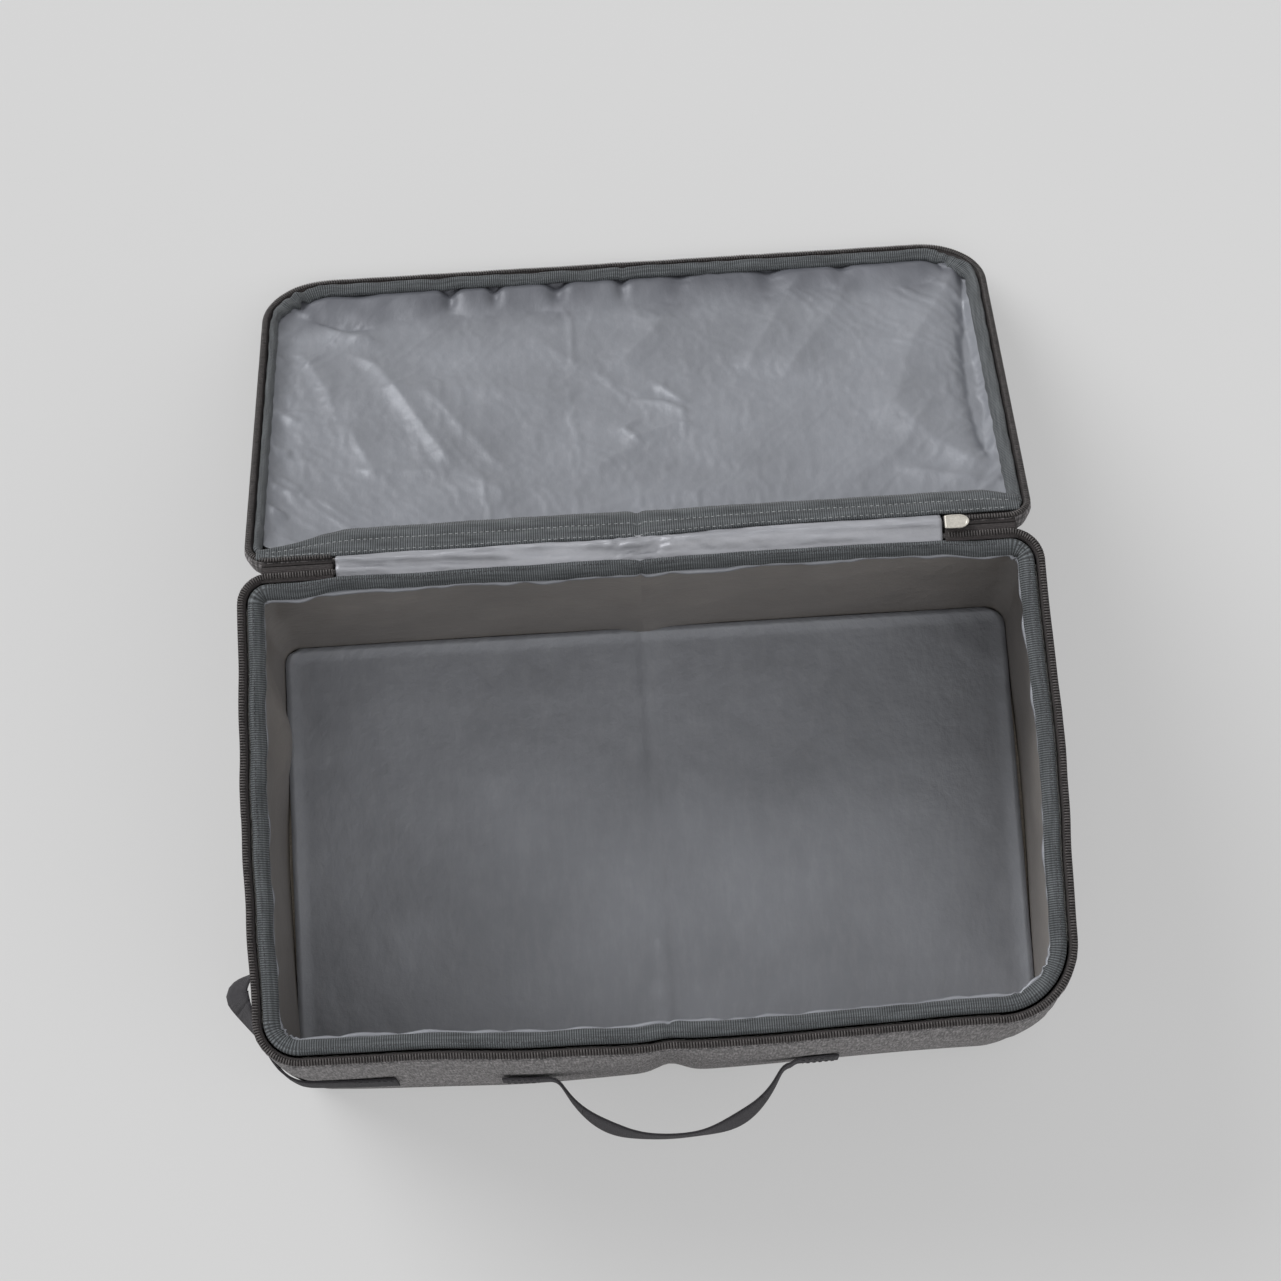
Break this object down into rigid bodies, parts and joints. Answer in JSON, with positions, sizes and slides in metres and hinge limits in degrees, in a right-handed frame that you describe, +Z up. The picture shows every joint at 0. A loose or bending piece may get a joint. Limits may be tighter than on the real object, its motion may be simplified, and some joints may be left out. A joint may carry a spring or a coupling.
{
  "type": "foldable litter box",
  "caption": "Soft-sided foldable litter box: a padded cloth case with a silver lining, a zipped lid hinged at the back, a webbing handle and a corner carrying loop.",
  "frame": {"origin": "middle of the case's underside, on the surface that it stands on", "axes": "+X to the right along the case's width, +Y from the handle side to the hinge side, +Z up"},
  "size_m": [0.4558, 0.5204, 0.1726],
  "materials": {
    "outer_cloth": "heathered woven polyester, matte",
    "foam": "closed-cell foam, matte",
    "board": "stiff board, matte",
    "silver_lining": "silver-grey coated lining, satin",
    "binding": "ribbed binding tape, matte",
    "zip_tape": "woven zip tape, matte",
    "zip_coil": "nylon coil, satin",
    "zip_metal": "cream-silver metal, satin",
    "handle_webbing": "woven webbing, matte",
    "corner_webbing": "woven webbing, matte"
  },
  "bodies": {
    "base": {"bottom_cloth": "outer_cloth", "base_board_left": "board", "base_board_right": "board", "floor_lining": "silver_lining", "front_cloth": "outer_cloth", "back_cloth": "outer_cloth", "left_cloth": "outer_cloth", "right_cloth": "outer_cloth", "front_pad_left": "foam", "front_pad_right": "foam", "back_pad_left": "foam", "back_pad_right": "foam", "left_pad": "foam", "right_pad": "foam", "front_lining": "silver_lining", "back_lining": "silver_lining", "left_lining": "silver_lining", "right_lining": "silver_lining"},
    "rim": {"rim_cloth": "outer_cloth", "case_zip_tape": "zip_tape", "case_zip_coil": "zip_coil", "rim_binding": "binding", "hinge_strip_case": "silver_lining", "zip_end_tape_left": "zip_tape", "zip_end_tape_right": "zip_tape"},
    "lid": {"lid_gusset_cloth": "outer_cloth", "lid_panel_cloth": "outer_cloth", "lid_pad_left": "foam", "lid_pad_right": "foam", "lid_lining": "silver_lining", "lid_zip_tape": "zip_tape", "lid_zip_coil": "zip_coil", "lid_binding": "binding", "hinge_strip_lid": "silver_lining"},
    "slider": {"zip_slider": "zip_metal"},
    "pull": {"zip_pull": "zip_metal"},
    "fittings": {"handle_patch_left": "handle_webbing", "handle_patch_right": "handle_webbing", "corner_patch_side": "corner_webbing", "corner_patch_front": "corner_webbing"},
    "handle": {"handle_loop": "handle_webbing"},
    "corner": {"corner_loop": "corner_webbing"}
  },
  "joints": [
    {"name": "rim_drop", "type": "slide", "parent": "base", "child": "rim", "axis": [0, 0, -1], "range_m": [0, 0.128], "deforming": ["front_cloth", "back_cloth", "left_cloth", "right_cloth", "front_pad_left", "front_pad_right", "back_pad_left", "back_pad_right", "left_pad", "right_pad", "front_lining", "back_lining", "left_lining", "right_lining"]},
    {"name": "lid_hinge", "type": "hinge", "parent": "rim", "child": "lid", "pos_m": [0, 0.136, 0.1683], "axis": [1, 0, 0], "range_deg": [0, 216.96]},
    {"name": "slider_travel", "type": "slide", "parent": "rim", "child": "slider", "axis": [1, 0, 0], "range_m": [0, 0.0265]},
    {"name": "pull_swing", "type": "hinge", "parent": "slider", "child": "pull", "pos_m": [0.1635, 0.136, 0.17035], "axis": [0, -1, 0], "range_deg": [0, 170]},
    {"name": "fittings_drop", "type": "slide", "parent": "base", "child": "fittings", "axis": [0, 0, -1], "range_m": [0, 0.06513]},
    {"name": "handle_swing", "type": "hinge", "parent": "fittings", "child": "handle", "pos_m": [0, -0.1475, 0.08], "axis": [1, 0, 0], "range_deg": [-85, 85]},
    {"name": "corner_swing", "type": "hinge", "parent": "fittings", "child": "corner", "pos_m": [-0.223, -0.07, 0.08], "axis": [0.5199, -0.8542, 0], "range_deg": [-14, 14]}
  ],
  "couplings": [
    {"joint": "fittings_drop", "follows": "rim_drop", "ratio": 0.50729}
  ]
}
